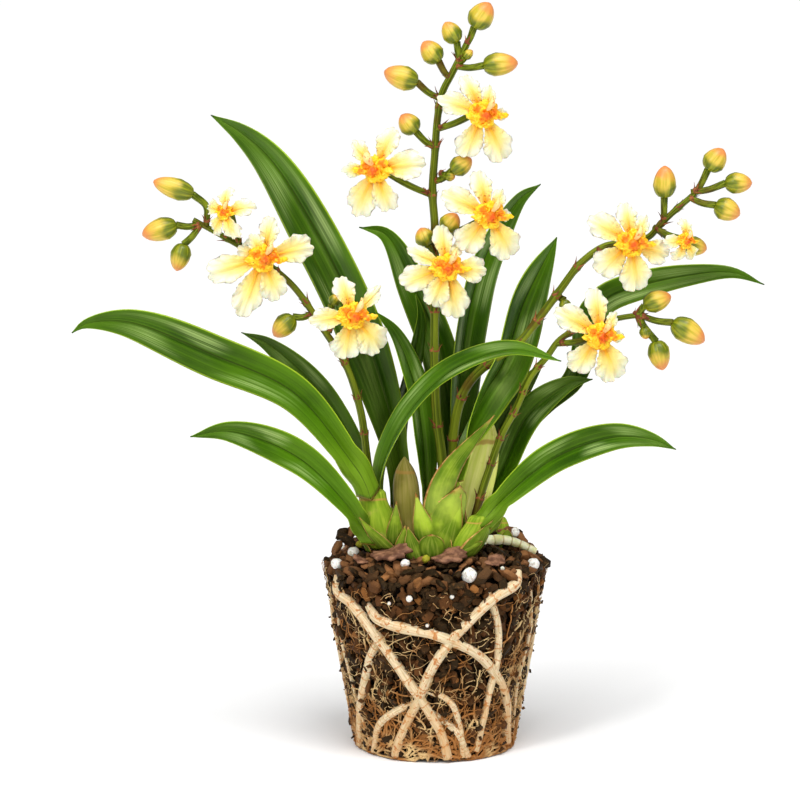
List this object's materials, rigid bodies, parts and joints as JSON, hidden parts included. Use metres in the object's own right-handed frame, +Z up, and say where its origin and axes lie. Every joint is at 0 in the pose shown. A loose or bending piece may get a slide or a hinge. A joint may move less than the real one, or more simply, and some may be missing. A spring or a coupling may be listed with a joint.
{
  "type": "oncidium orchid plant",
  "caption": "Bare-rooted oncidium orchid: pot-shaped ball of bark and roots, pseudobulbs, arching strap leaves and branching spikes of ruffled cream flowers and buds.",
  "frame": {"origin": "centre of the flat underside of the root ball, on the surface that the plant stands on", "axes": "+Z up along the plant, -Y towards the front that the flowers face, +X to the right seen from the front"},
  "size_m": [0.2892, 0.1048, 0.3155],
  "materials": {
    "leaf": "semi-gloss deep green leaf with paler margins and fine parallel veins",
    "spike": "satin olive green stem with small dry bracts, buds yellow and orange",
    "petal": "soft matte cream petal, golden towards the middle, with a few red-brown specks",
    "crest": "waxy orange",
    "bulb": "satin yellow-green with dry tan sheath edges",
    "bulb_brown": "dull brownish green under a papery sheath",
    "root": "matte cream root with tan marks",
    "surface_root": "matte pale green-white root with thin brown rings",
    "bark": "rough matte dark bark with white grains of perlite"
  },
  "bodies": {
    "root": {"spike_left": "spike", "spike_centre": "spike", "spike_upper_right": "spike", "spike_lower_right": "spike", "leaf_tall_left": "leaf", "leaf_long_left": "leaf", "leaf_inner_left": "leaf", "leaf_low_left": "leaf", "leaf_back_centre": "leaf", "leaf_back_right": "leaf", "leaf_front_right": "leaf", "leaf_long_right": "leaf", "leaf_inner_right": "leaf", "leaf_low_right": "leaf", "leaf_arching": "leaf", "leaf_middle": "leaf", "leaf_slim_back": "leaf", "leaf_slim_right": "leaf", "crest_1": "crest", "crest_2": "crest", "crest_3": "crest", "crest_4": "crest", "crest_5": "crest", "crest_6": "crest", "crest_7": "crest", "crest_8": "crest", "crest_9": "crest", "crest_10": "crest", "bloom_1": "petal", "bloom_2": "petal", "bloom_3": "petal", "bloom_4": "petal", "bloom_5": "petal", "bloom_6": "petal", "bloom_7": "petal", "bloom_8": "petal", "bloom_9": "petal", "bloom_10": "petal", "bulb_left": "bulb", "bulb_brown": "bulb_brown", "bulb_front": "bulb", "bulb_tall": "bulb", "bulb_right": "bulb", "bulb_small": "bulb", "bulb_back_left": "bulb", "bulb_back_right": "bulb", "surface_root": "surface_root", "roots": "root", "bark_mix": "bark"}
  },
  "joints": []
}
